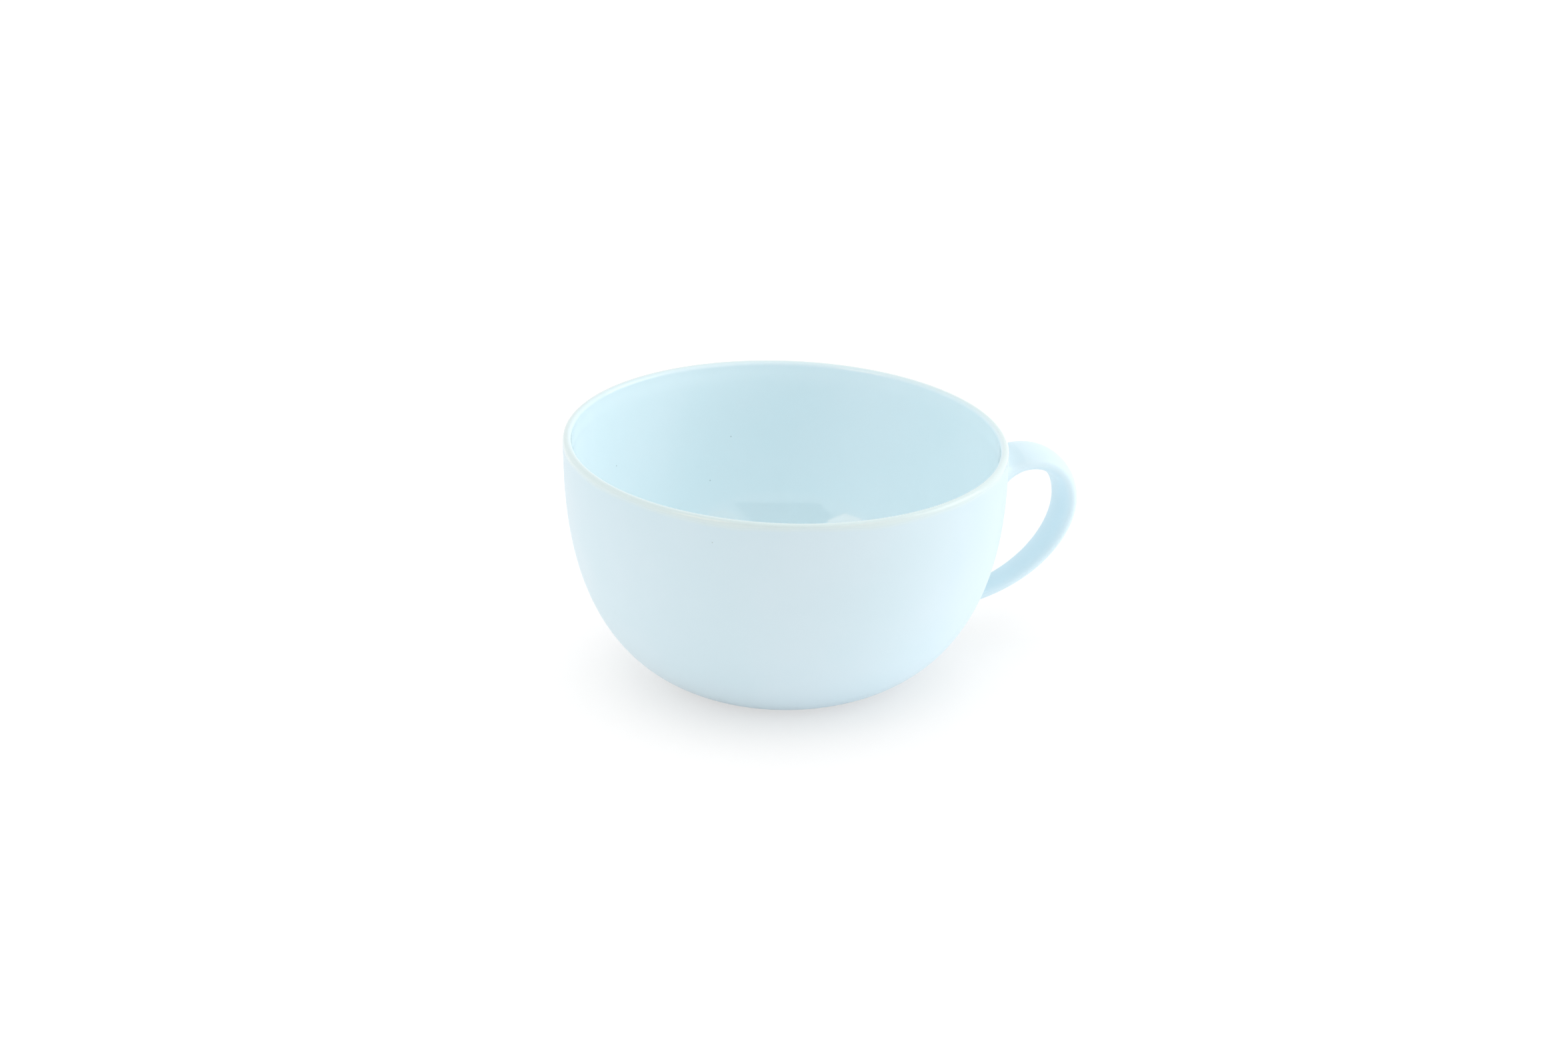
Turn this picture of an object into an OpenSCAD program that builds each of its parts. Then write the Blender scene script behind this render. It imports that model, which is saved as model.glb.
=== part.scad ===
// Soup mug: a low round bowl of glazed stoneware with a strap handle luted to its side.
// The origin is on the bowl's axis at the table, +Z is up and the handle points along +X.

/* [Bowl] */
// Outer diameter of the wall at the lip
rim_d = 119.5; // [104:0.1:136]
// Depth from the middle of the lip down to the edge of the base
bowl_depth = 64.2; // [56:0.1:76]
// Diameter of the edge where the wall turns under to the base
base_d = 63.5; // [54:0.5:74]
// Thickness of the wall at the lip
wall = 2.2; // [1.8:0.1:3.6]
// Thickness of the wall where it turns into the floor
low_wall = 4; // [3:0.1:5.6]
// Thickness of the floor
floor_t = 3.6; // [3:0.1:5.6]

/* [Rim] */
// How far the round lip swells past each face of the wall
lip_bead = 0.1; // [0.05:0.01:0.2]
// Height of the lip's root in the wall, under its rounding
lip_h = 2.2; // [1.6:0.1:4]
// How much lower the lip is on the handle's side than on the axis
rim_drop = 2.1; // [0.5:0.1:4]

/* [Foot] */
// How far the standing ring sits in from the edge of the base
foot_inset = 3.7; // [2.5:0.1:6]
// Width of the standing ring
foot_w = 3.6; // [2.6:0.1:5.5]
// Height of the standing ring
foot_h = 1.5; // [1:0.1:3]
// Radius of the standing ring's lower edges
foot_round = 0.6; // [0.2:0.1:0.9]
// Rise of the underside inside the standing ring
base_dish = 0.6; // [0.2:0.1:1.2]

/* [Handle] */
// Drop of the upper joint's middle below the lip beside it
handle_top_drop = 13.3; // [12:0.1:16]
// Rise of the lower joint's middle above the edge of the base
handle_low_rise = 10.6; // [9:0.1:14]
// Reach of the strap's middle line out past the rim
handle_reach = 21.7; // [16:0.1:28]
// Drop of the strap's outermost point below the lip beside it
handle_turn_drop = 24.9; // [21:0.1:29]
// Angle at which the strap rises from the upper joint
handle_top_angle = 22; // [10:1:30]
// Angle at which the strap rises from the lower joint
handle_low_angle = 4; // [0:1:14]
// Pull of the upper joint's direction on the strap's curve
handle_top_pull = 15.4; // [12:0.1:18]
// Pull of the upright direction above the outermost point
handle_upper_pull = 9.8; // [7:0.1:12]
// Pull of the upright direction below the outermost point
handle_lower_pull = 10.7; // [7:0.1:14]
// Pull of the lower joint's direction on the strap's curve
handle_low_pull = 23.8; // [17:0.1:27]
// Width of the strap at the upper joint
strap_w_top = 15.6; // [12:0.1:19]
// Width of the strap at its outermost point
strap_w_turn = 12.8; // [9:0.1:15.5]
// Width of the strap at the lower joint
strap_w_low = 7.4; // [5.5:0.1:11]
// Thickness of the strap at the upper joint
strap_t_top = 6.3; // [4.5:0.1:7.5]
// Thickness of the strap at its outermost point
strap_t_turn = 5.2; // [4:0.1:6.8]
// Thickness of the strap at the lower joint
strap_t_low = 3.6; // [3:0.1:5]

/* [Slip joints] */
// How far the slip spreads over the wall above and beside the strap's upper end
slip_spread_top = 7; // [5:0.1:8.5]
// How far the slip hangs down the wall under the strap's upper end
slip_hang = 11; // [8:0.1:13]
// How far the slip spreads over the wall round the strap's lower end
slip_spread_low = 4.2; // [2.5:0.1:4.8]
// How far the slip runs up the strap at the upper joint
slip_run_top = 9; // [7:0.1:11]
// How far the slip runs up the strap at the lower joint
slip_run_low = 6.5; // [5:0.1:8]
// Thickness of the slip between the strap's end and the wall
slip_t = 0.4; // [0.25:0.05:0.8]

/* [Glaze] */
// Thickness of the gloss glaze inside the bowl
glaze_t = 0.3; // [0.2:0.05:0.6]

/* [Hidden] */
$fa = 4;
$fs = 0.6;

// Clearance that keeps the slip's flat facets out of the curved wall
slip_seat = 0.03;

// Colours of the fired surfaces
satin_colour = [0.83, 0.91, 0.93];
slip_colour = [0.80, 0.88, 0.90];
gloss_colour = [0.74, 0.87, 0.90];
biscuit_colour = [0.87, 0.83, 0.76];

// Powers of the wall's curve: how late it leaves the upright, and how sharply it turns under
fall_power = 2.45;
turn_power = 3;
// Power that blends the cavity's side into its floor
floor_power = 40;
// Power of the strap's rounded section
strap_power = 2.1;

// Steps along each curve, and sides round the strap
wall_steps = 16;
lip_steps = 10;
cavity_steps = 24;
strap_steps = 16;
strap_sides = 36;
cap_steps = 4;
slip_steps = 7;

rim_r = rim_d / 2;
base_r = base_d / 2;
lip_r = wall / 2 + lip_bead;
lip_root = wall / 2 - 2 * lip_bead;
lip_ring_r = rim_r - wall / 2;
rim_z = foot_h + bowl_depth;
rim_slant = asin(rim_drop / lip_ring_r);
rim_top = rim_z + rim_drop + lip_r;
lip_band = rim_drop + lip_h;
foot_r = base_r - foot_inset;
floor_depth = bowl_depth - floor_t;

// The wall is a superellipse that would close on the axis at close_depth, were it not cut at the base
close_depth = bowl_depth / pow(1 - pow(base_r / rim_r, turn_power), 1 / fall_power);
lip_angle = asin(pow(lip_band / close_depth, fall_power / 2));
base_angle = acos(pow(base_r / rim_r, turn_power / 2));
cavity_angle = 88;

// A point of the wall's outside at a curve angle, as radius and depth below the lip
function curve_r(angle) = rim_r * pow(cos(angle), 2 / turn_power);
function curve_depth(angle) = close_depth * pow(sin(angle), 2 / fall_power);

// The direction of the wall's outside, down and inward, at a curve angle
function curve_run(angle) = [
    -rim_r / turn_power * pow(cos(angle), 2 / turn_power - 1) * sin(angle),
    close_depth / fall_power * pow(sin(angle), 2 / fall_power - 1) * cos(angle)
];

// The wall's thickness at a depth
function wall_at(depth) = wall + (low_wall - wall) * pow(depth / close_depth, 2);

// A depth blended into the flat floor of the cavity
function well_depth(depth, bottom) = bottom * pow(1 + pow(bottom / depth, floor_power), -1 / floor_power);

// A point of the cavity, set in from the outside by the wall and by what lines it
function cavity_point(angle, lining) =
    let (depth = curve_depth(angle))
    let (inset = wall_at(depth) + lining)
    let (run = curve_run(angle) / norm(curve_run(angle)))
    [curve_r(angle) - inset * run.y, rim_z - well_depth(depth + inset * run.x, floor_depth - lining)];

// The outside from the top of the wall down to the base
function outside_points() = [
    [rim_r, rim_top],
    for (i = [0:wall_steps])
        let (angle = lip_angle + (base_angle - lip_angle) * i / wall_steps)
        [curve_r(angle), rim_z - curve_depth(angle)]
];

// The cavity from the axis up to the top of the wall
function cavity_points(lining) = [
    [0, rim_z - well_depth(close_depth - low_wall - lining, floor_depth - lining)],
    for (i = [cavity_steps:-1:0])
        cavity_point(lip_angle + (cavity_angle - lip_angle) * i / cavity_steps, lining),
    [rim_r - wall - lining, rim_top]
];

// The list in the other order
function reversed(list) = [for (i = [len(list) - 1:-1:0]) list[i]];

// The wall's outer radius at a height
function wall_r(z) = rim_r * pow(1 - pow(max(rim_z - z, 0) / close_depth, fall_power), 1 / turn_power);

// The point of the wall's outside, raised by a gap, that lies straight in from a place beside it
function on_wall(y, z, gap) = [sqrt(pow(wall_r(z) + gap, 2) - pow(y, 2)), y, z];

// A cubic curve and its direction
function curve_at(p, t) =
    pow(1 - t, 3) * p[0] + 3 * pow(1 - t, 2) * t * p[1] + 3 * (1 - t) * pow(t, 2) * p[2] + pow(t, 3) * p[3];
function curve_dir(p, t) =
    let (run = pow(1 - t, 2) * (p[1] - p[0]) + 2 * (1 - t) * t * (p[2] - p[1]) + pow(t, 2) * (p[3] - p[2]))
    run / norm(run);

// The strap's middle line in the handle's plane: two curves that meet upright at the outermost point
top_z = rim_z - rim_drop - handle_top_drop;
low_z = foot_h + handle_low_rise;
top_end = [wall_r(top_z), top_z];
low_end = [wall_r(low_z), low_z];
turn = [rim_r + handle_reach, rim_z - rim_drop - handle_turn_drop];
top_dir = [cos(handle_top_angle), sin(handle_top_angle)];
low_dir = [cos(handle_low_angle), sin(handle_low_angle)];
upper_curve = [top_end, top_end + handle_top_pull * top_dir, turn + [0, handle_upper_pull], turn];
lower_curve = [turn, turn - [0, handle_lower_pull], low_end + handle_low_pull * low_dir, low_end];
upper_start = slip_run_top / (3 * handle_top_pull);
lower_stop = 1 - slip_run_low / (3 * handle_low_pull);

// The strap's section: a rounded oblong one unit to each side
function rounded(v) = sign(v) * pow(abs(v), 2 / strap_power);
strap_section = [for (i = [0:strap_sides - 1]) [
    rounded(cos(360 * i / strap_sides)), rounded(sin(360 * i / strap_sides))
]];

// One ring of the strap, square to its middle line
function strap_ring(middle, dir, w, t) = [
    for (s = strap_section)
        [middle.x - dir.y * t / 2 * s.y, w / 2 * s.x, middle.y + dir.x * t / 2 * s.y]
];

// One ring on the wall round an end of the strap, at a share of the strap's section. It is widened by a spread
// above and beside the strap, and by a hang under it
function wall_ring(end, dir, w, t, share, spread, hang, gap) =
    let (side = share * (w / 2 + spread), rise = t / 2 * abs(dir.x))
    [for (s = strap_section)
        let (up = s.y * sign(dir.x))
        on_wall(side * s.x, end.y + share * up * (rise + (up > 0 ? spread : hang)), gap)];

// The rings of the strap's end face, the last of them round its edge
function end_rings(end, dir, w, t) = [
    for (i = [1:cap_steps]) wall_ring(end, dir, w, t, i / cap_steps, 0, 0, slip_t)
];

// The value at a share of the way from one to another
function mix(a, b, share) = a + (b - a) * share;

upper_rings = [for (i = [0:strap_steps])
    let (t = mix(upper_start, 1, i / strap_steps))
    strap_ring(
        curve_at(upper_curve, t),
        curve_dir(upper_curve, t),
        mix(strap_w_top, strap_w_turn, t),
        mix(strap_t_top, strap_t_turn, t)
    )
];
lower_rings = [for (i = [1:strap_steps])
    let (t = mix(0, lower_stop, i / strap_steps))
    strap_ring(
        curve_at(lower_curve, t),
        curve_dir(lower_curve, t),
        mix(strap_w_turn, strap_w_low, t),
        mix(strap_t_turn, strap_t_low, t)
    )
];
top_cap = end_rings(top_end, top_dir, strap_w_top, strap_t_top);
low_cap = end_rings(low_end, -low_dir, strap_w_low, strap_t_low);

// A closed skin over a row of rings, with a point at each end
module skin(first, rings, last) {
    n = len(rings[0]);
    points = [first, for (ring = rings) each ring, last];
    end = len(points) - 1;
    faces = [
        for (j = [0:n - 1]) [0, 1 + j, 1 + (j + 1) % n],
        for (i = [0:len(rings) - 2], j = [0:n - 1]) each
            let (a = 1 + i * n + j, b = 1 + i * n + (j + 1) % n)
            [[a, b + n, b], [a, a + n, b + n]],
        for (j = [0:n - 1]) [end, end - n + (j + 1) % n, end - n + j]
    ];
    polyhedron(points, faces, convexity = 6);
}

// The slip round one end of the strap: a pad behind the end face and a hollow fillet round the edge
module slip_joint(end, dir, w, t, spread, hang, cap, strap_edge) {
    corner = cap[cap_steps - 1];
    toe = wall_ring(end, dir, w, t, 1, spread, hang, slip_seat);
    fillet = [for (k = [1:slip_steps])
        let (q = k / slip_steps)
        pow(1 - q, 2) * strap_edge + 2 * (1 - q) * q * corner + pow(q, 2) * toe
    ];
    seat = [for (i = [cap_steps:-1:1])
        wall_ring(end, dir, w, t, i / (cap_steps + 1), spread, hang, slip_seat)
    ];
    rings = [each cap, strap_edge, each fillet, each seat];
    pad_middle = on_wall(0, end.y, slip_t);
    seat_middle = on_wall(0, end.y, slip_seat);
    if (dir.x > 0)
        skin(seat_middle, reversed(rings), pad_middle);
    else
        skin(pad_middle, rings, seat_middle);
}

// The space above the slanted lip, from a drop below it
module above_lip(drop) {
    translate([0, 0, rim_z])
        rotate([0, rim_slant, 0])
            translate([0, 0, -drop])
                cylinder(r = rim_d, h = rim_d);
}

// The lip's section: a half-round top on a root that narrows down into the wall
module lip_section() {
    polygon([
        [-lip_root, -lip_h],
        [lip_root, -lip_h],
        for (i = [0:lip_steps])
            let (angle = 180 * i / lip_steps)
            lip_r * [cos(angle), sin(angle)]
    ]);
}

// The bowl with its slanted round lip
module bowl() {
    color(satin_colour) {
        difference() {
            rotate_extrude()
                polygon([
                    each outside_points(),
                    [foot_r - foot_w, foot_h],
                    [0, foot_h + base_dish],
                    each cavity_points(0)
                ]);
            above_lip(0);
        }
        translate([0, 0, rim_z])
            rotate([0, rim_slant, 0])
                rotate_extrude()
                    translate([lip_ring_r, 0])
                        lip_section();
    }
}

// The bare ring that the mug stands on
module foot_ring() {
    color(biscuit_colour)
        rotate_extrude()
            translate([foot_r - foot_w, 0]) {
                translate([0, foot_round])
                    square([foot_w, foot_h - foot_round]);
                translate([foot_round, 0])
                    square([foot_w - 2 * foot_round, foot_h]);
                for (x = [foot_round, foot_w - foot_round])
                    translate([x, foot_round])
                        circle(r = foot_round);
            }
}

// The strap handle
module handle() {
    color(satin_colour)
        skin(
            on_wall(0, top_end.y, slip_t),
            [each top_cap, each upper_rings, each lower_rings, each reversed(low_cap)],
            on_wall(0, low_end.y, slip_t)
        );
}

// The slip that holds the strap's upper end
module handle_upper_joint() {
    color(slip_colour)
        slip_joint(
            top_end, top_dir, strap_w_top, strap_t_top, slip_spread_top, slip_hang, top_cap, upper_rings[0]
        );
}

// The slip that holds the strap's lower end
module handle_lower_joint() {
    color(slip_colour)
        slip_joint(
            low_end, -low_dir, strap_w_low, strap_t_low, slip_spread_low, slip_spread_low, low_cap,
            lower_rings[strap_steps - 1]
        );
}

// The gloss glaze that lines the cavity up to the lip
module inner_glaze() {
    color(gloss_colour)
        difference() {
            rotate_extrude()
                polygon([each cavity_points(0), each reversed(cavity_points(glaze_t))]);
            above_lip(lip_h);
        }
}

bowl();
foot_ring();
handle();
handle_upper_joint();
handle_lower_joint();
inner_glaze();
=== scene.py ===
# %% [markdown]
# # A pale blue soup mug
#
# The mug is a low round bowl of glazed stoneware with a tapering strap handle on one side.
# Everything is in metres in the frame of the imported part: the origin is on the bowl's axis at the table,
# +Z is up and the handle points along +X.
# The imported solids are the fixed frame. Each of them gets a finer surface here, worked out with numpy from
# the same sizes, so the curves are smooth enough for a glossy glaze.

import math

import bpy
import numpy as np
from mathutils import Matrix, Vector


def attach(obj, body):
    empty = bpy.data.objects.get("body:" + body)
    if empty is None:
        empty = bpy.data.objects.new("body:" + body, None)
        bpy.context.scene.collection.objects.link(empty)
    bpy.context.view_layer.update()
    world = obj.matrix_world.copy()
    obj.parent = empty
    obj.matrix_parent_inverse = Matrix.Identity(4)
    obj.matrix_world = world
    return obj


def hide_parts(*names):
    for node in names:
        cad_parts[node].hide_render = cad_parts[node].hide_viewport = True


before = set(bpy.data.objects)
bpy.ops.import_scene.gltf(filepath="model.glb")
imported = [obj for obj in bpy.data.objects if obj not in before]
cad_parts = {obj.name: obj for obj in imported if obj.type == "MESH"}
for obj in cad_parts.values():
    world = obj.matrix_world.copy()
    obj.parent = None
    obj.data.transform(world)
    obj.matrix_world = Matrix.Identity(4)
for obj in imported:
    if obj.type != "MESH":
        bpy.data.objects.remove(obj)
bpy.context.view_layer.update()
print("solids:", sorted(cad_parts))

# %% [markdown]
# ## The camera
#
# The photograph looks down on the mug with a long lens, with the handle pointing right and a little away.
# The camera could be placed by eye, but a few measures fix it: the angle of the rim's ellipse gives the
# height of the view, the handle's outline gives the turn, and the width of the rim gives the scale.
# The lens follows from the scale: so many pixels to a millimetre at the distance of the bowl's axis.

# %% Place the camera
MM = 0.001
IMAGE_WIDTH = 2352
SENSOR_WIDTH = 36
VIEW_DISTANCE = 1200 * MM
VIEW_HEIGHT_ANGLE = math.radians(23.56)
VIEW_TURN = math.radians(19.5)
PIXELS_TO_MM = 5.554
AIM_HEIGHT = 42.3 * MM
AIM_LEFT = 0.54 * MM

view_right = np.array([math.cos(VIEW_TURN), -math.sin(VIEW_TURN), 0])
view_away = np.array([math.sin(VIEW_TURN), math.cos(VIEW_TURN), 0])
view_up = np.array([0, 0, 1])

aim = view_up * AIM_HEIGHT - view_right * AIM_LEFT
back = -view_away * math.cos(VIEW_HEIGHT_ANGLE) + view_up * math.sin(VIEW_HEIGHT_ANGLE)
camera_data = bpy.data.cameras.new("photo_camera")
camera_data.sensor_width = SENSOR_WIDTH
camera_data.lens = SENSOR_WIDTH * PIXELS_TO_MM * (VIEW_DISTANCE / MM) / IMAGE_WIDTH
camera = bpy.data.objects.new("photo_camera", camera_data)
camera.location = aim + back * VIEW_DISTANCE
camera.rotation_mode = "QUATERNION"
camera.rotation_quaternion = Vector(-back).to_track_quat("-Z", "Y")
bpy.context.scene.collection.objects.link(camera)
bpy.context.scene.camera = camera
bpy.context.scene.view_settings.view_transform = "Standard"
print(f"lens {camera_data.lens:.1f} mm at {VIEW_DISTANCE} m")

# %% [markdown]
# ## Turning a grid of points into a piece
#
# Every piece of the mug is a stack of rings: the bowl's rings run round its axis, the handle's run round the
# strap. One helper joins each ring to the next with quads and closes both ends with a fan on a middle point,
# or joins the last ring to the first for a ring-shaped piece.
# A closed skin has a signed volume: the sum of the volumes of the wedges from the origin to each triangle.
# If it comes out negative the faces point inwards, and the helper turns them round.

# %% Make a closed skin from rings
CREASE_ANGLE = math.radians(50)


def ring_faces(rings, sides, closed):
    """Quads between neighbouring rings: this point, the next in its ring, and both of the ring above."""
    row, column = np.meshgrid(np.arange(rings if closed else rings - 1), np.arange(sides), indexing="ij")
    across = (column + 1) % sides
    above = (row + 1) % rings
    corners = [row * sides + column, row * sides + across, above * sides + across, above * sides + column]
    return np.stack(corners, axis=-1).reshape(-1, 4)


def skin_volume(points, quads, fans):
    """A sixth of the sum of a . (b x c) over the triangles of a closed skin."""
    triangles = np.concatenate([quads[:, [0, 1, 2]], quads[:, [0, 2, 3]], fans])
    a, b, c = points[triangles[:, 0]], points[triangles[:, 1]], points[triangles[:, 2]]
    return np.einsum("ij,ij->", a, np.cross(b, c)) / 6


def make_piece(name, rings, ends=None):
    """A mesh over rings[ring, side, xyz] in mm, closed on two end points, or end to end without them."""
    count, sides, _ = rings.shape
    points = rings.reshape(-1, 3)
    quads = ring_faces(count, sides, ends is None)
    fans = np.zeros((0, 3), int)
    if ends is not None:
        side = np.arange(sides)
        across = (side + 1) % sides
        first = np.full(sides, len(points))
        last_ring = (count - 1) * sides
        bottom = np.stack([across, side, first], axis=-1)
        top = np.stack([last_ring + side, last_ring + across, first + 1], axis=-1)
        fans = np.concatenate([bottom, top])
        points = np.concatenate([points, np.array(ends)])
    volume = skin_volume(points, quads, fans)
    if volume < 0:
        quads = quads[:, ::-1]
        fans = fans[:, ::-1]
    mesh = bpy.data.meshes.new(name)
    mesh.from_pydata((points * MM).tolist(), [], quads.tolist() + fans.tolist())
    mesh.polygons.foreach_set("use_smooth", np.ones(len(mesh.polygons), bool))
    mesh.set_sharp_from_angle(angle=CREASE_ANGLE)
    mesh.update()
    piece = bpy.data.objects.new(name, mesh)
    bpy.context.scene.collection.objects.link(piece)
    triangles = 2 * len(quads) + len(fans)
    print(f"{name}: {triangles} triangles, {abs(volume) / 1000:.2f} cm3")
    return piece


def smooth_step(low, high, value):
    """Rises from 0 at low to 1 at high, level at both ends."""
    share = np.clip((value - low) / (high - low), 0, 1)
    return share * share * (3 - 2 * share)


# %% [markdown]
# ## The wall's curve
#
# A thrown bowl starts upright at the lip and turns under faster and faster towards its foot.
# A circle would turn too early and a spline would need many points. A superellipse does it with two powers:
# one says how late the wall leaves the upright, and the other how sharply it turns under.
# The wall is cut at the base, before the curve would close on the axis.

# %% Work out the wall
RIM_RADIUS = 59.75
BASE_RADIUS = 31.75
BOWL_DEPTH = 64.2
FOOT_HEIGHT = 1.5
FALL_POWER = 2.45
TURN_POWER = 3
LIP_WALL = 2.2
LOW_WALL = 4
FLOOR_THICKNESS = 3.6
FLOOR_POWER = 40

rim_z = FOOT_HEIGHT + BOWL_DEPTH
close_depth = BOWL_DEPTH / (1 - (BASE_RADIUS / RIM_RADIUS) ** TURN_POWER) ** (1 / FALL_POWER)


def wall_radius(z):
    """Outer radius at a height:
    rim radius * (1 - (depth / closing depth) ^ fall power) ^ (1 / turn power)."""
    depth = np.maximum(rim_z - z, 0)
    return RIM_RADIUS * (1 - (depth / close_depth) ** FALL_POWER) ** (1 / TURN_POWER)


def cavity(angle, lining):
    """Radius and height inside: the outer curve set in along its normal by the wall and its lining, with the
    depth d eased into a floor at depth b by b * (1 + (b / d) ^ p) ^ (-1 / p)."""
    radius = RIM_RADIUS * np.cos(angle) ** (2 / TURN_POWER)
    depth = close_depth * np.sin(angle) ** (2 / FALL_POWER)
    run_in = -RIM_RADIUS / TURN_POWER * np.cos(angle) ** (2 / TURN_POWER - 1) * np.sin(angle)
    run_down = close_depth / FALL_POWER * np.sin(angle) ** (2 / FALL_POWER - 1) * np.cos(angle)
    length = np.hypot(run_in, run_down)
    inset = LIP_WALL + (LOW_WALL - LIP_WALL) * (depth / close_depth) ** 2 + lining
    inner_depth = depth + inset * run_in / length
    bottom = BOWL_DEPTH - FLOOR_THICKNESS - lining
    eased = bottom * (1 + (bottom / inner_depth) ** FLOOR_POWER) ** (-1 / FLOOR_POWER)
    return radius - inset * run_down / length, rim_z - eased


print(f"the wall would close {close_depth:.1f} mm below the lip")

# %% [markdown]
# ## The slanted lip
#
# The rim of this mug isn't quite level: it is a little lower on the handle's side.
# The wall's top edge therefore lies in a slanted plane, and the round lip is a half circle carried round a
# tilted ring. Tilting the whole bowl would also tilt its foot, so only the ring is tilted, and the wall's
# rows are spread between the level base and the slanted ring.

# %% Work out the lip
RIM_DROP = 2.1
LIP_BEAD = 0.02
BOWL_SIDES = 192
LIP_ROWS = 20

lip_radius = LIP_WALL / 2 + LIP_BEAD
lip_ring_radius = RIM_RADIUS - LIP_WALL / 2
slant = math.asin(RIM_DROP / lip_ring_radius)
around = np.linspace(0, 2 * np.pi, BOWL_SIDES, endpoint=False)
lip_out = np.stack(
    [np.cos(around) * math.cos(slant), np.sin(around), -np.cos(around) * math.sin(slant)], axis=-1
)
lip_up = np.array([math.sin(slant), 0, math.cos(slant)])
lip_ring = np.array([0, 0, rim_z]) + lip_ring_radius * lip_out


def revolve(radius, z):
    """Points at radius[row, side] and height z[row, side] round the bowl's axis."""
    return np.stack([radius * np.cos(around), radius * np.sin(around), z + 0 * radius], axis=-1)


def lip_rows():
    """Half circles from outside over the top to the inside: ring + r (cos t * outward + sin t * upward)."""
    turn = np.linspace(0, np.pi, LIP_ROWS)[:, None, None]
    return lip_ring + lip_radius * (np.cos(turn) * lip_out + np.sin(turn) * lip_up)


print(f"the lip slants {math.degrees(slant):.2f} degrees")

# %% [markdown]
# ## The bowl
#
# The bowl's skin is one run of rings: from the middle of the underside out to the base's rounded edge, up the
# wall, over the lip and down the cavity to the middle of its floor.
# Near the lip the wall's rows lean gently into the half circle, so no crease shows in a reflection.
# The cavity is a profile with its travel measured along it. Each side of the bowl starts down that profile
# where the slanted lip leaves it. Below the lip the clay steps back by the thickness of the glaze that
# lines the cavity, so that the lining lies flush with the lip.

# %% Work out the bowl's rows
EDGE_ROUND = 0.9
EDGE_RUN = 1.35
BASE_DISH = 0.6
STAND_OUTER = 28.05
STAND_INNER = 24.45
LIP_BLEND = 4.5
WALL_ROWS = 90
CAVITY_ROWS = 110
CAVITY_SPREAD = 1.6
EDGE_ROWS = 10
UNDER_ROWS = 8
MIDDLE_RADIUS = 1
GLAZE_THICKNESS = 0.3
GLAZE_START = 0.25
GLAZE_FEATHER = 1.2
CAVITY_END = math.radians(89)
PROFILE_START = 0.002
PROFILE_STEPS = 3000


def under_rows():
    """The underside: a shallow cone inside the standing ring, then level out to the base's edge."""
    dish = np.linspace(MIDDLE_RADIUS, STAND_INNER, UNDER_ROWS)
    level = np.linspace(STAND_INNER, BASE_RADIUS - EDGE_RUN, UNDER_ROWS)[1:-1]
    radius = np.concatenate([dish, level])[:, None] + 0 * around
    rise = BASE_DISH * np.clip(1 - radius / STAND_INNER, 0, 1)
    return revolve(radius, FOOT_HEIGHT + rise)


def edge_rows():
    """The rounded edge of the base: a quadratic curve from underside to wall, pulled to the corner."""
    share = np.linspace(0, 1, EDGE_ROWS)[:, None]
    start = np.array([BASE_RADIUS - EDGE_RUN, FOOT_HEIGHT])
    corner = np.array([BASE_RADIUS, FOOT_HEIGHT])
    stop = np.array([wall_radius(FOOT_HEIGHT + EDGE_ROUND), FOOT_HEIGHT + EDGE_ROUND])
    curve = (1 - share) ** 2 * start + 2 * (1 - share) * share * corner + share**2 * stop
    return revolve(curve[:, :1] + 0 * around, curve[:, 1:])


def wall_rows():
    """The outside: rows spread from the base's edge to the slanted lip, eased into the lip's outer side."""
    share = np.linspace(0, 1, WALL_ROWS + 2)[1:-1, None]
    low = FOOT_HEIGHT + EDGE_ROUND
    lip_side = lip_ring + lip_radius * lip_out
    z = low + (lip_side[:, 2] - low) * share
    wall = revolve(wall_radius(z), z)
    below = (lip_side[:, 2] - z)[..., None]
    return wall + (lip_side - below * lip_up - wall) * smooth_step(LIP_BLEND, 0, below)


def inside_rows(set_back):
    """The cavity from just below the slanted lip down to its floor: the lined profile in rows that lie closer
    near the lip, eased out of the lip's inner side there, and set back along the profile's normal by
    set_back(travel)."""
    angle = CAVITY_END * np.linspace(PROFILE_START, 1, PROFILE_STEPS) ** 2
    radius, z = cavity(angle, GLAZE_THICKNESS)
    radius = np.concatenate([radius[:1], radius])
    z = np.concatenate([[rim_z + LIP_BLEND], z])
    travel = np.concatenate([[0], np.cumsum(np.hypot(np.diff(radius), np.diff(z)))])
    lip_side = lip_ring - lip_radius * lip_out
    lip_travel = np.interp(-lip_side[:, 2], -z, travel)
    share = np.linspace(0, 1, CAVITY_ROWS)[:, None] ** CAVITY_SPREAD
    below = GLAZE_START + (travel[-1] - lip_travel - GLAZE_START) * share
    at = lip_travel + below
    profile = revolve(np.interp(at, travel, radius), np.interp(at, travel, z))
    lip = lip_side - below[..., None] * lip_up
    face = profile + (lip - profile) * smooth_step(LIP_BLEND, 0, below)[..., None]
    behind = set_back(below)
    normal_out = np.interp(at, travel, -np.gradient(z, travel))
    normal_down = np.interp(at, travel, np.gradient(radius, travel))
    return face + revolve(behind * normal_out, behind * normal_down)


def glaze_bed(below):
    """How far the clay lies behind the lining's face: nothing at the lip, the glaze's thickness below."""
    return GLAZE_THICKNESS * smooth_step(GLAZE_START, GLAZE_START + GLAZE_FEATHER, below)


print("under, edge and wall rows:", len(under_rows()), len(edge_rows()), len(wall_rows()))

# %% Make the bowl
cavity_clay = inside_rows(glaze_bed)
bowl = make_piece(
    "thrown_bowl",
    np.concatenate([under_rows(), edge_rows(), wall_rows(), lip_rows(), cavity_clay]),
    [[0, 0, FOOT_HEIGHT + BASE_DISH], [0, 0, cavity_clay[-1, 0, 2]]],
)

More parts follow.
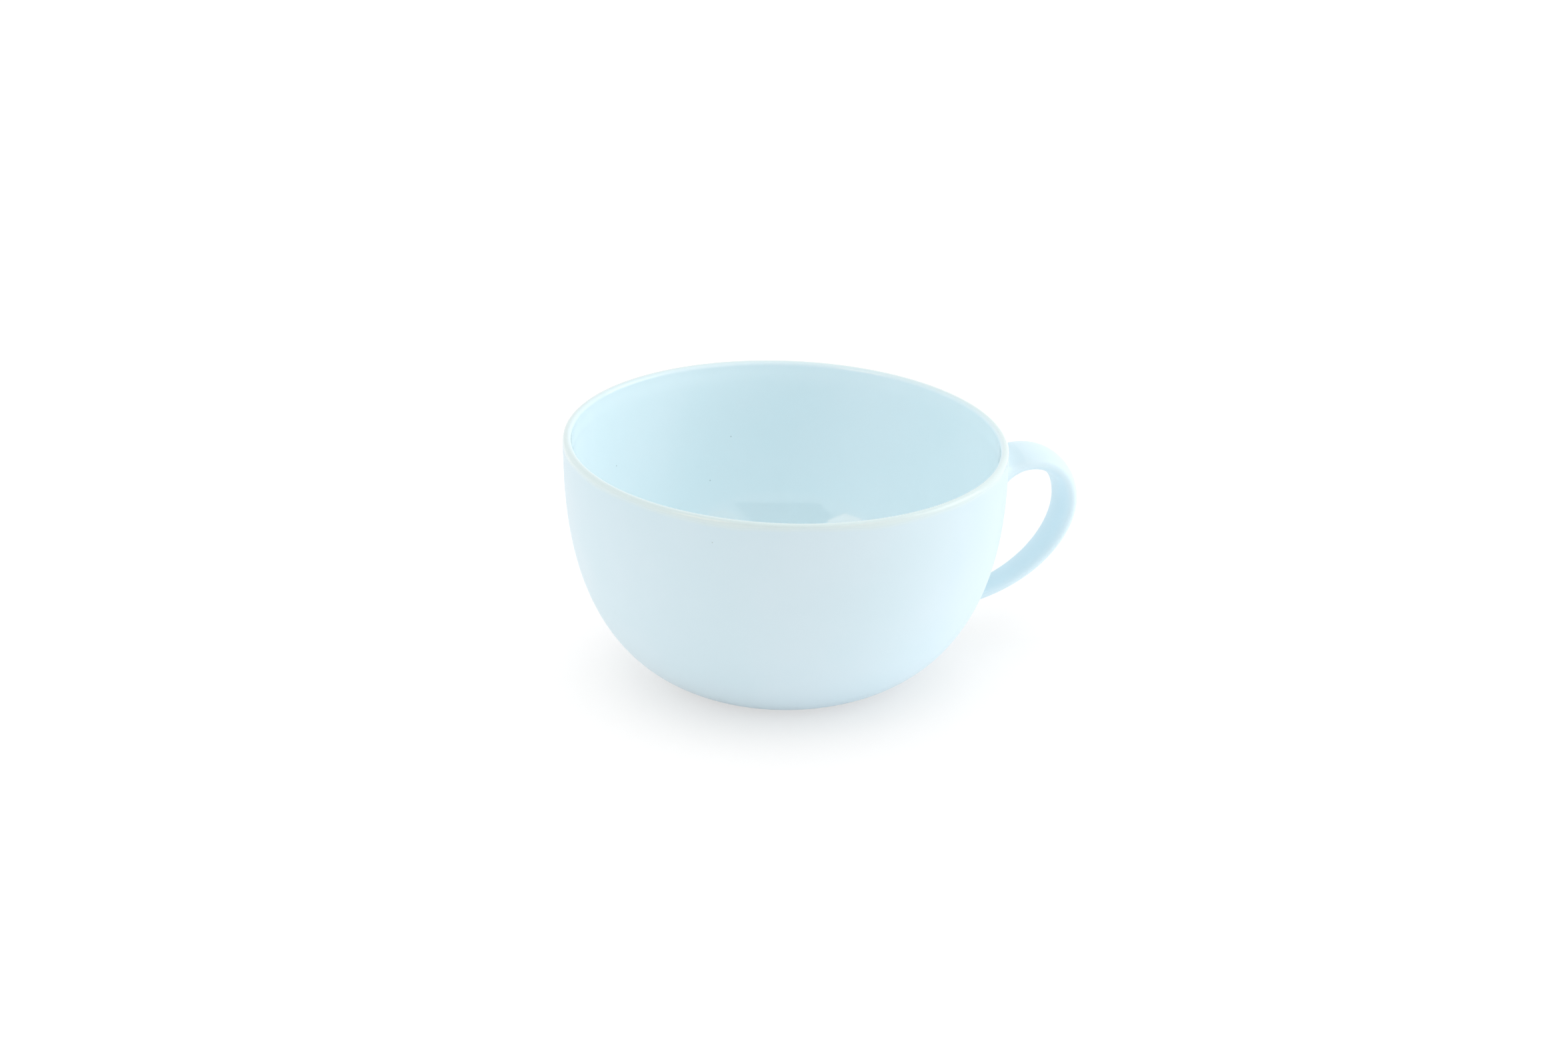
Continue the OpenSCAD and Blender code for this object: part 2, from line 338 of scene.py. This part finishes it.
# %% [markdown]
# ## The gloss lining
#
# The inside carries a glossy glaze a third of a millimetre thick. It could be a second material on the bowl,
# but it is a layer of its own, so it is a thin closed shell. Its back lies on the clay, and its face runs on
# from the lip's inner side, a hair in front of it, so that no step or dark line shows where the two meet.

# %% Make the gloss lining
GLAZE_PROUD = 0.005


def glaze_face(below):
    """How far the lining's face lies behind the lip's inner side: a hair in front of it everywhere."""
    return 0 * below - GLAZE_PROUD


lining_back = inside_rows(glaze_bed)
lining_face = inside_rows(glaze_face)
lining = make_piece(
    "gloss_lining",
    np.concatenate([lining_back[::-1], lining_face]),
    [[0, 0, lining_back[-1, 0, 2]], [0, 0, lining_face[-1, 0, 2]]],
)

# %% [markdown]
# ## The standing ring
#
# The mug stands on a low ring of bare clay under its base. Its section is an oblong with rounded lower edges,
# and a superellipse gives that with one power. The section is carried round the axis and closed end to end.

# %% Make the standing ring
STAND_POWER = 5
STAND_SECTION = 32

section_turn = np.linspace(0, 2 * np.pi, STAND_SECTION, endpoint=False)[:, None]


def rounded(value, power):
    """A cosine or sine pushed outwards: its sign times its size to the power of 2 / power."""
    return np.sign(value) * np.abs(value) ** (2 / power)


stand_radius = (STAND_OUTER + STAND_INNER) / 2 + (STAND_OUTER - STAND_INNER) / 2 * rounded(
    np.cos(section_turn), STAND_POWER
)
stand_z = FOOT_HEIGHT / 2 * (1 + rounded(np.sin(section_turn), STAND_POWER))
stand = make_piece("standing_ring", revolve(stand_radius + 0 * around, stand_z + 0 * around))

# %% [markdown]
# ## The strap handle
#
# The handle is a strap of clay, pulled so that it is wide and thick at the top and thins downwards.
# Its middle line is two cubic curves in the plane of the handle that meet upright at the outermost point.
# The section is a rounded oblong, a superellipse again, carried along that line square to it.
# Both ends are shaped to the bowl's wall, so they bed against it all over.

# %% Work out the strap
TOP_DROP = 13.3
LOW_RISE = 10.6
REACH = 21.7
TURN_DROP = 24.9
TOP_ANGLE = math.radians(22)
LOW_ANGLE = math.radians(4)
TOP_PULL = 15.4
UPPER_PULL = 9.8
LOWER_PULL = 10.7
LOW_PULL = 23.8
WIDTHS = (15.6, 12.8, 7.4)
THICKNESSES = (6.3, 5.2, 3.6)
STRAP_POWER = 2.1
STRAP_SIDES = 64
STRAP_ROWS = 56
CAP_ROWS = 5
SLIP_RUN_TOP = 9
SLIP_RUN_LOW = 6.5
SLIP_THICKNESS = 0.4

top_z = rim_z - RIM_DROP - TOP_DROP
low_z = FOOT_HEIGHT + LOW_RISE
top_end = np.array([wall_radius(top_z), top_z])
low_end = np.array([wall_radius(low_z), low_z])
outermost = np.array([RIM_RADIUS + REACH, rim_z - RIM_DROP - TURN_DROP])
top_dir = np.array([math.cos(TOP_ANGLE), math.sin(TOP_ANGLE)])
low_dir = np.array([math.cos(LOW_ANGLE), math.sin(LOW_ANGLE)])
upright = np.array([0, 1])
upper_curve = (top_end, top_end + TOP_PULL * top_dir, outermost + UPPER_PULL * upright, outermost)
lower_curve = (outermost, outermost - LOWER_PULL * upright, low_end + LOW_PULL * low_dir, low_end)
upper_start = SLIP_RUN_TOP / (3 * TOP_PULL)
lower_stop = 1 - SLIP_RUN_LOW / (3 * LOW_PULL)

strap_turn = np.linspace(0, 2 * np.pi, STRAP_SIDES, endpoint=False)
section_side = rounded(np.cos(strap_turn), STRAP_POWER)
section_face = rounded(np.sin(strap_turn), STRAP_POWER)


def mix(a, b, share):
    """The value at a share of the way from a to b."""
    return a + (b - a) * share


def strap_rings(curve, share, widths, thicknesses):
    """Sections square to a cubic curve at each share of it, with width and thickness running evenly along."""
    t = np.asarray(share)[:, None]
    p0, p1, p2, p3 = curve
    middle = (1 - t) ** 3 * p0 + 3 * (1 - t) ** 2 * t * p1 + 3 * (1 - t) * t**2 * p2 + t**3 * p3
    run = (1 - t) ** 2 * (p1 - p0) + 2 * (1 - t) * t * (p2 - p1) + t**2 * (p3 - p2)
    run = run / np.linalg.norm(run, axis=1, keepdims=True)
    half_width = mix(*widths, t) / 2
    half_thickness = mix(*thicknesses, t) / 2
    x = middle[:, :1] - run[:, 1:] * half_thickness * section_face
    z = middle[:, 1:] + run[:, :1] * half_thickness * section_face
    return np.stack([x, half_width * section_side + 0 * x, z], axis=-1)


def on_wall(y, z, gap):
    """The point of the bowl's outside, raised by a gap, straight in from a place beside it."""
    return np.stack([np.sqrt((wall_radius(z) + gap) ** 2 - y**2), y, z], axis=-1)


def wall_rings(end, rise, width, thickness, shares, spread, hang, gap):
    """Rings on the wall round an end of the strap: the section at each share of its size, widened by a spread
    above and beside the strap and by a hang under it."""
    share = np.asarray(shares)[:, None]
    side = share * (width / 2 + spread) * section_side
    up = section_face * np.sign(rise)
    reach = thickness / 2 * abs(rise) + np.where(up > 0, spread, hang)
    return on_wall(side, end[1] + share * up * reach, gap)


upper_shares = np.linspace(upper_start, 1, STRAP_ROWS)
upper_strap = strap_rings(upper_curve, upper_shares, WIDTHS[:2], THICKNESSES[:2])
lower_shares = np.linspace(0, lower_stop, STRAP_ROWS)[1:]
lower_strap = strap_rings(lower_curve, lower_shares, WIDTHS[1:], THICKNESSES[1:])
cap_shares = np.linspace(0, 1, CAP_ROWS + 1)[1:]
top_cap = wall_rings(top_end, top_dir[0], WIDTHS[0], THICKNESSES[0], cap_shares, 0, 0, SLIP_THICKNESS)
low_cap = wall_rings(low_end, -low_dir[0], WIDTHS[2], THICKNESSES[2], cap_shares, 0, 0, SLIP_THICKNESS)
print("the strap's middle line reaches", outermost.tolist(), "mm")

# %% Make the strap handle
handle = make_piece(
    "strap_handle",
    np.concatenate([top_cap, upper_strap, lower_strap, low_cap[::-1]]),
    [on_wall(0, top_z, SLIP_THICKNESS), on_wall(0, low_z, SLIP_THICKNESS)],
)

# %% [markdown]
# ## The slip joints
#
# The ends of the strap are luted on with slip, which is smoothed out into a hollow fillet all round.
# A bevel can't do this between two separate pieces. Here each line of the fillet is a quadratic curve from
# the strap's skin to the wall, pulled towards the corner where the two meet, so it leaves both smoothly.
# A pad of slip fills the space behind the strap's end.

# %% Make the slip joints
SPREAD_TOP = 7
HANG_TOP = 11
SPREAD_LOW = 4.2
SLIP_SEAT = 0.03
SLIP_CORNER = 0.1
FILLET_ROWS = 14


def slip_joint(name, end, rise, width, thickness, spreads, cap, strap_edge):
    """A closed skin: the pad against the strap's end, the fillet round it, and the seat on the wall."""
    corner = wall_rings(end, rise, width, thickness, [1], 0, 0, SLIP_CORNER)
    toe = wall_rings(end, rise, width, thickness, [1], *spreads, SLIP_SEAT)
    share = np.linspace(0, 1, FILLET_ROWS)[:, None, None]
    fillet = (1 - share) ** 2 * strap_edge + 2 * (1 - share) * share * corner + share**2 * toe
    seat_shares = np.linspace(1, 0, CAP_ROWS + 1)[1:-1]
    seat = wall_rings(end, rise, width, thickness, seat_shares, *spreads, SLIP_SEAT)
    middles = [on_wall(0, end[1], SLIP_THICKNESS), on_wall(0, end[1], SLIP_SEAT)]
    return make_piece(name, np.concatenate([cap, fillet, seat]), middles)


upper_joint = slip_joint(
    "upper_slip_joint", top_end, top_dir[0], WIDTHS[0], THICKNESSES[0], (SPREAD_TOP, HANG_TOP), top_cap,
    upper_strap[:1],
)
lower_joint = slip_joint(
    "lower_slip_joint", low_end, -low_dir[0], WIDTHS[2], THICKNESSES[2], (SPREAD_LOW, SPREAD_LOW), low_cap,
    lower_strap[-1:],
)

# %% [markdown]
# ## Shader sums
#
# A node tree is easier to read as a sum. This small class wraps a socket: adding, multiplying or subtracting
# wrapped sockets adds the Math nodes, and one method makes any other node from its type, its settings and the
# values or links of its sockets.

# %% Wrap a shader socket
class Wire:
    """A socket that takes part in Python sums. Each operator adds a Math node to the tree."""

    def __init__(self, tree, socket=None):
        self.tree = tree
        self.socket = socket

    def node(self, kind, settings=None, sockets=None, output=0):
        """Adds a node: its settings first, then a value or a link for each socket named or numbered."""
        made = self.tree.nodes.new("ShaderNode" + kind)
        for key, value in (settings or {}).items():
            setattr(made, key, value)
        for key, value in (sockets or {}).items():
            target = made.inputs[key]
            if isinstance(value, Wire):
                self.tree.links.new(value.socket, target)
            else:
                target.default_value = value
        return Wire(self.tree, made.outputs[output] if made.outputs else None)

    def math(self, operation, first, second):
        return self.node("Math", {"operation": operation}, {0: first, 1: second})

    def __add__(self, other):
        return self.math("ADD", self, other)

    __radd__ = __add__

    def __sub__(self, other):
        return self.math("SUBTRACT", self, other)

    def __rsub__(self, other):
        return self.math("SUBTRACT", other, self)

    def __mul__(self, other):
        return self.math("MULTIPLY", self, other)

    __rmul__ = __mul__

    def rise(self, low, high):
        """0 at low and 1 at high, level at both ends."""
        settings = {"interpolation_type": "SMOOTHSTEP"}
        return self.node("MapRange", settings, {"Value": self, "From Min": low, "From Max": high})

    def blend(self, start, stop):
        """The colour from start to stop, by this share."""
        return self.node("Mix", {"data_type": "RGBA"}, {0: self, 6: start, 7: stop}, output=2)


def colour(red, green, blue):
    """A screen colour, 0 to 255, as the light values that shaders use, by the screen's usual curve."""
    screen = np.array([red, green, blue]) / 255
    light = np.where(screen <= 0.04045, screen / 12.92, ((screen + 0.055) / 1.055) ** 2.4)
    return (*light.tolist(), 1)


print("a mid grey in light values:", round(colour(128, 128, 128)[0], 3))

# %% [markdown]
# ## The glazes
#
# The outside has a satin glaze and the inside a glossy one, both pale blue, with the inside's blue painted
# paler as painted light in the well. The glossy one laps over the lip's inner side, so the two meet on top of
# the lip and not at the edge of the lining.
# Glaze draws back from a sharp edge as it melts, so the lip's outer side is creamier, with an uneven lower
# limit.
# The height below the slanted lip is a sum of the object's own coordinates, and a slow noise shifts it.
# The handle's blue is painted a shade paler than the wall's, as painted light on the strap, and near its top
# it darkens back into the wall's blue, painted shade where the strap grows out of the wall.
# Other noises give the glaze its faint clouding and the slight waviness of its surface. Each noise below is a
# scale and a number of finer layers.
# Iron in the clay leaves a few faint specks. Each is a spot at a set place, faded out from its middle.

# %% Mix the glazes
SATIN_BLUES = (colour(218, 237, 245), colour(215, 236, 244))
# Painted light: the handle's blue is paler than the wall's, standing in for light on the strap.
HANDLE_BLUES_WITH_PAINTED_LIGHT = (colour(223, 243, 251), colour(221, 242, 250))
# Painted light: the lining's blue is paler than the outside's, standing in for light in the well.
GLOSS_BLUES_WITH_PAINTED_LIGHT = (colour(234, 250, 255), colour(231, 249, 254))
LIP_CREAM = colour(222, 238, 238)
CLOUD_NOISE = (38, 3)
CLOUD_RANGE = (0.3, 0.7)
CLOUD_ROUGH = 0.05
RIPPLE_NOISE = (160, 1)
PEEL_NOISE = (1100, 2)
PEEL_SHARE = 0.06
WANDER_NOISE = (45, 2)
LIP_FADE = (-1.6 * MM, 0.5 * MM)
LIP_WANDER = 2.4 * MM
LAP_FADE = ((RIM_RADIUS - 2.2) * MM, (RIM_RADIUS - 0.9) * MM)
LAP_DEPTH = (-4 * MM, -3 * MM)
SATIN_ROUGH = 0.42
HANDLE_ROUGH = 0.41
LIP_ROUGH = 0.15
LINING_ROUGH = 0.05
SATIN_RIPPLE = 0.02 * MM
LINING_RIPPLE = 0.006 * MM
GLAZE_IOR = 1.5
# Painted shade: near the wall and above these heights the handle's blue darkens to the wall's.
ROOT_SHADE_FADE = (60 * MM, 71 * MM)
ROOT_SHADE_HEIGHT = (30 * MM, 42 * MM)
SPECK_BROWN = colour(180, 200, 203)
SPECK_RADIUS = 0.3 * MM
SPECKS = ((3.4, 55.9, 45.2), (-33.8, 44.8, 45.9), (-3.7, 53.4, 33.8), (-36.8, -47.1, 61.4))


def nearest(place, spots):
    """The distance from a place to the nearest of some spots given in mm."""
    least = None
    for spot in spots:
        there = [v * MM for v in spot]
        gap = place.node("VectorMath", {"operation": "DISTANCE"}, {0: place, 1: there}, output="Value")
        least = gap if least is None else gap.math("MINIMUM", gap, least)
    return least


def glaze(name, blues, roughness, ripple, shaded_root_blues=None):
    """A glaze: clouded blue and creamy towards the lip, with its roughness, the depth of its ripple, and the
    darker blues that a handle turns into where its top meets the wall, painted shade at that joint."""
    material = bpy.data.materials.new(name)
    material.use_nodes = True
    tree = material.node_tree
    tree.nodes.clear()
    start = Wire(tree)
    place = start.node("TexCoord", output="Object")
    x = place.node("SeparateXYZ", None, {0: place}, output=0)
    y = place.node("SeparateXYZ", None, {0: place}, output=1)
    z = place.node("SeparateXYZ", None, {0: place}, output=2)

    def noise(scale, detail):
        return place.node("TexNoise", None, {"Vector": place, "Scale": scale, "Detail": detail})

    height = x * math.sin(slant) + (z - rim_z * MM) * math.cos(slant)
    spread = x * x + y * y
    inside = (1 - spread.rise(LAP_FADE[0] ** 2, LAP_FADE[1] ** 2)) * height.rise(*LAP_DEPTH)
    cream = (height + (noise(*WANDER_NOISE) - 0.5) * LIP_WANDER).rise(*LIP_FADE) * (1 - inside)
    cloud = noise(*CLOUD_NOISE)
    patch = cloud.rise(*CLOUD_RANGE)
    blue = inside.blend(patch.blend(*blues), patch.blend(*GLOSS_BLUES_WITH_PAINTED_LIGHT))
    # Painted shade: a darker blue near the upper joint, where the strap meets the wall.
    if shaded_root_blues:
        root = (1 - spread.rise(ROOT_SHADE_FADE[0] ** 2, ROOT_SHADE_FADE[1] ** 2)) * z.rise(*ROOT_SHADE_HEIGHT)
        blue = root.blend(blue, patch.blend(*shaded_root_blues))
    rough = cream * (LIP_ROUGH - roughness) + inside * (LINING_ROUGH - roughness) + roughness
    speck = 1 - nearest(place, SPECKS).rise(0, SPECK_RADIUS)
    waves = noise(*RIPPLE_NOISE) + noise(*PEEL_NOISE) * PEEL_SHARE
    bump = waves.node("Bump", None, {"Strength": 1, "Distance": ripple, "Height": waves})
    shader = bump.node(
        "BsdfPrincipled",
        None,
        {
            "Base Color": speck.blend(cream.blend(blue, LIP_CREAM), SPECK_BROWN),
            "Roughness": rough + (cloud - 0.5) * CLOUD_ROUGH,
            "Normal": bump,
            "IOR": GLAZE_IOR,
        },
    )
    shader.node("OutputMaterial", None, {"Surface": shader})
    return material


satin_glaze = glaze("satin_glaze", SATIN_BLUES, SATIN_ROUGH, SATIN_RIPPLE)
handle_glaze = glaze("handle_glaze", HANDLE_BLUES_WITH_PAINTED_LIGHT, HANDLE_ROUGH, SATIN_RIPPLE, SATIN_BLUES)
slip_glaze = glaze("slip_glaze", HANDLE_BLUES_WITH_PAINTED_LIGHT, HANDLE_ROUGH, SATIN_RIPPLE, SATIN_BLUES)
gloss_glaze = glaze("gloss_glaze", GLOSS_BLUES_WITH_PAINTED_LIGHT, LINING_ROUGH, LINING_RIPPLE)
print("glazes:", [m.name for m in bpy.data.materials if m.name.endswith("glaze")])

# %% [markdown]
# ## The bare clay
#
# The standing ring is wiped clean of glaze so that it doesn't stick to the kiln shelf.
# Bare fired clay is matt and grainy: a fine noise colours it and roughens its surface.

# %% Mix the bare clay
CLAY_PALE = colour(233, 227, 215)
CLAY_DARK = colour(222, 213, 198)
GRAIN_SCALE = 2200
GRAIN_LAYERS = 4
GRAIN_RANGE = (0.35, 0.65)
GRAIN_DEPTH = 0.05 * MM
CLAY_ROUGH = 0.75
GRAIN_ROUGH = 0.2

bare_clay = bpy.data.materials.new("bare_clay")
bare_clay.use_nodes = True
bare_clay.node_tree.nodes.clear()
clay = Wire(bare_clay.node_tree)
clay_place = clay.node("TexCoord", output="Object")
grain = clay.node("TexNoise", None, {"Vector": clay_place, "Scale": GRAIN_SCALE, "Detail": GRAIN_LAYERS})
clay_bump = clay.node("Bump", None, {"Strength": 1, "Distance": GRAIN_DEPTH, "Height": grain})
clay_shader = clay.node(
    "BsdfPrincipled",
    None,
    {
        "Base Color": grain.rise(*GRAIN_RANGE).blend(CLAY_DARK, CLAY_PALE),
        "Roughness": CLAY_ROUGH + grain * GRAIN_ROUGH,
        "Normal": clay_bump,
    },
)
clay.node("OutputMaterial", None, {"Surface": clay_shader})
print("bare clay grain of about", round(1 / MM / GRAIN_SCALE, 1), "mm")

# %% [markdown]
# ## Dressing the pieces
#
# Each piece rides on the part's one body, takes the place of its solid, which is hidden, and gets the finish
# listed beside it.

# %% Dress the pieces
DRESS = (
    (bowl, "bowl", "satin_glaze", satin_glaze),
    (lining, "inner_glaze", "gloss_glaze", gloss_glaze),
    (stand, "foot_ring", "biscuit", bare_clay),
    (handle, "handle", "handle_glaze", handle_glaze),
    (upper_joint, "handle_upper_joint", "slip", slip_glaze),
    (lower_joint, "handle_lower_joint", "slip", slip_glaze),
)
for piece, node, slot, material in DRESS:
    piece.data.materials.append(material)
    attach(piece, "root")
    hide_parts(node)
print("dressed:", [piece.name for piece, *_ in DRESS])

# %% [markdown]
# ## The floor
#
# The photograph is a high-key studio shot on a white sweep. The floor takes the mug's soft shadow and gives
# it light from below. It could be lit until it turns white, but that would bleach the mug as well.
# Towards the camera it has a little glow of its own instead, which makes it white where no shadow falls.
# In the photograph the underside is lit from the front right, as if by a reflector lying there. A soft spot
# of the floor does that here: it glows only for the rays that light things, so it isn't seen.

# %% Lay the floor
FLOOR_SIZE = 6
FLOOR_WHITE = (0.885, 0.862, 0.85, 1)
FLOOR_GLOW = 1.14
FLOOR_GLOW_SHARE = 0.5
BOUNCE_RIGHT = 61 * MM
BOUNCE_NEAR = 35 * MM
BOUNCE_RADIUS = 110 * MM
BOUNCE_LEVEL = 0.25
BOUNCE_TINT = (0.78, 0.87, 1, 1)

floor_mesh = bpy.data.meshes.new("floor")
half = FLOOR_SIZE / 2
floor_mesh.from_pydata(
    [(-half, -half, 0), (half, -half, 0), (half, half, 0), (-half, half, 0)], [], [(0, 1, 2, 3)]
)
floor = bpy.data.objects.new("floor", floor_mesh)
bpy.context.scene.collection.objects.link(floor)
sweep = bpy.data.materials.new("white_sweep")
sweep.use_nodes = True
sweep.node_tree.nodes.clear()


def seen_directly(start):
    """1 for rays from the camera, mirrors and glass, and 0 for the rays that light things."""
    camera_ray = start.node("LightPath", output="Is Camera Ray")
    glossy_ray = start.node("LightPath", output="Is Glossy Ray")
    clear_ray = start.node("LightPath", output="Is Transmission Ray")
    most = camera_ray.math("MAXIMUM", camera_ray, glossy_ray)
    return most.math("MAXIMUM", most, clear_ray)


floor_start = Wire(sweep.node_tree)
floor_white = floor_start.node("BsdfDiffuse", None, {"Color": FLOOR_WHITE})
floor_glow = floor_start.node("Emission", None, {"Strength": FLOOR_GLOW})
seen = seen_directly(floor_start)
glow_share = seen * FLOOR_GLOW_SHARE
floor_shader = floor_start.node("MixShader", None, {0: glow_share, 1: floor_white, 2: floor_glow})
bounce_spot = view_right * BOUNCE_RIGHT - view_away * BOUNCE_NEAR
floor_place = floor_start.node("TexCoord", output="Object")
from_spot = nearest(floor_place, [bounce_spot / MM])
bounce_level = (1 - from_spot.rise(0, BOUNCE_RADIUS)) * (1 - seen) * BOUNCE_LEVEL
floor_bounce = floor_start.node("Emission", None, {"Color": BOUNCE_TINT, "Strength": bounce_level})
floor_sum = floor_start.node("AddShader", None, {0: floor_shader, 1: floor_bounce})
floor_start.node("OutputMaterial", None, {"Surface": floor_sum})
floor_mesh.materials.append(sweep)
print("floor of", FLOOR_SIZE, "m")

# %% [markdown]
# ## The lights
#
# Almost all the light is an even white surround. A broad soft lamp on the right brightens that side and a
# weak one on the left fills the other. Both are linked to the mug only, so they throw no second shadow.
# A third lamp from above is linked to the floor and gives the mug its faint shadow there.
# Each lamp is a name, what it lights, its place to the right, away and up in metres, its size and its power.

# %% Set the lights
WORLD_LEVEL = 0.97
LAMPS = (
    ("key_lamp", "mug", 1.2, 0.1, 0.52, 0.9, 4.8),
    ("fill_lamp", "mug", -1.1, -0.1, 0.6, 0.8, 0.4),
    ("sweep_lamp", "floor", 0, 0, 1.5, 1.5, 8.5),
)
MIDDLE_HEIGHT = 0.04

world = bpy.data.worlds.new("studio")
world.use_nodes = True
world.node_tree.nodes.clear()
world_start = Wire(world.node_tree)
world_level = seen_directly(world_start) * (1 - WORLD_LEVEL) + WORLD_LEVEL
surround = world_start.node("Background", None, {"Color": (1, 1, 1, 1), "Strength": world_level})
world_start.node("OutputWorld", None, {"Surface": surround})
bpy.context.scene.world = world


def facing(place):
    """The turn that points a lamp or a card at this place towards the mug."""
    return Vector(view_up * MIDDLE_HEIGHT - place).to_track_quat("-Z", "Y")


lit = {"mug": bpy.data.collections.new("lit_mug"), "floor": bpy.data.collections.new("lit_floor")}
for piece, *_ in DRESS:
    lit["mug"].objects.link(piece)
lit["floor"].objects.link(floor)
for name, target, right, away, high, size, power in LAMPS:
    lamp_data = bpy.data.lights.new(name, "AREA")
    lamp_data.size = size
    lamp_data.energy = power
    lamp = bpy.data.objects.new(name, lamp_data)
    lamp.location = view_right * right + view_away * away + view_up * high
    lamp.rotation_mode = "QUATERNION"
    lamp.rotation_quaternion = facing(np.array(lamp.location))
    lamp.light_linking.receiver_collection = lit[target]
    bpy.context.scene.collection.objects.link(lamp)
print("lamps:", [lamp[0] for lamp in LAMPS])

# %% [markdown]
# ## The cards
#
# A glossy glaze shows what stands round it. In the well of the mug two softboxes and the dark opening between
# them are mirrored, so a card for each of them is hung where the mirror direction points.
# A dark flag in front keeps some of the surround's light off the near side, which models the round wall.
# The camera doesn't see any card. The mirrored ones light nothing, and the flag isn't mirrored.
# Each card is a name, its number of sides, its turn and height as angles seen from the mug, its distance, its
# size, its lean, its glow, and whether it is mirrored.

# %% Hang the cards
FLAG_GREY = (0.05, 0.05, 0.05, 1)
SOFTBOX_WARM = (1, 0.72, 0.52, 1)
CARDS = (
    ("flag", 4, 12, 24, 1.35, (1.0, 0.75), 0, 0, False),
    ("dark_window", 4, -1, 34, 1.4, (1.3, 0.35), 1.25, 0, True),
    ("left_softbox", 8, -45, 41, 1.3, (0.58, 0.58), 0, 3.7, True),
    ("right_softbox", 8, 46, 38, 1.3, (0.58, 0.58), 0, 1.5, True),
)


def card_shader(start, glow):
    """Dark cloth, or a glow where there is one."""
    if glow:
        return start.node("Emission", None, {"Color": SOFTBOX_WARM, "Strength": glow})
    return start.node("BsdfDiffuse", None, {"Color": FLAG_GREY})


def hang_card(name, sides, turn, height, distance, size, lean, glow, mirrored):
    """A flat card with even sides that faces the mug: its corners are at (cos t, sin t) / cos(pi / sides)
    times half its size, and each is shifted to the left by the lean times its height. It either shows in
    reflections and nowhere else, or keeps light off and isn't reflected."""
    corner = np.pi / sides * (1 + 2 * np.arange(sides))
    flat = np.stack([np.cos(corner), np.sin(corner)], axis=-1) / math.cos(np.pi / sides) * np.array(size) / 2
    flat[:, 0] -= lean * flat[:, 1]
    mesh = bpy.data.meshes.new(name)
    mesh.from_pydata(np.pad(flat, ((0, 0), (0, 1))).tolist(), [], [list(range(sides))])
    card = bpy.data.objects.new(name, mesh)
    turn, height = math.radians(turn), math.radians(height)
    level = view_right * math.sin(turn) - view_away * math.cos(turn)
    place = (level * math.cos(height) + view_up * math.sin(height)) * distance
    card.location = place
    card.rotation_mode = "QUATERNION"
    card.rotation_quaternion = facing(place)
    card.visible_camera = False
    card.visible_glossy = mirrored
    card.visible_diffuse = not mirrored
    card.visible_shadow = not mirrored
    bpy.context.scene.collection.objects.link(card)
    cloth = bpy.data.materials.new(name)
    cloth.use_nodes = True
    cloth.node_tree.nodes.clear()
    start = Wire(cloth.node_tree)
    start.node("OutputMaterial", None, {"Surface": card_shader(start, glow)})
    mesh.materials.append(cloth)


for card in CARDS:
    hang_card(*card)
print("cards:", [card[0] for card in CARDS])
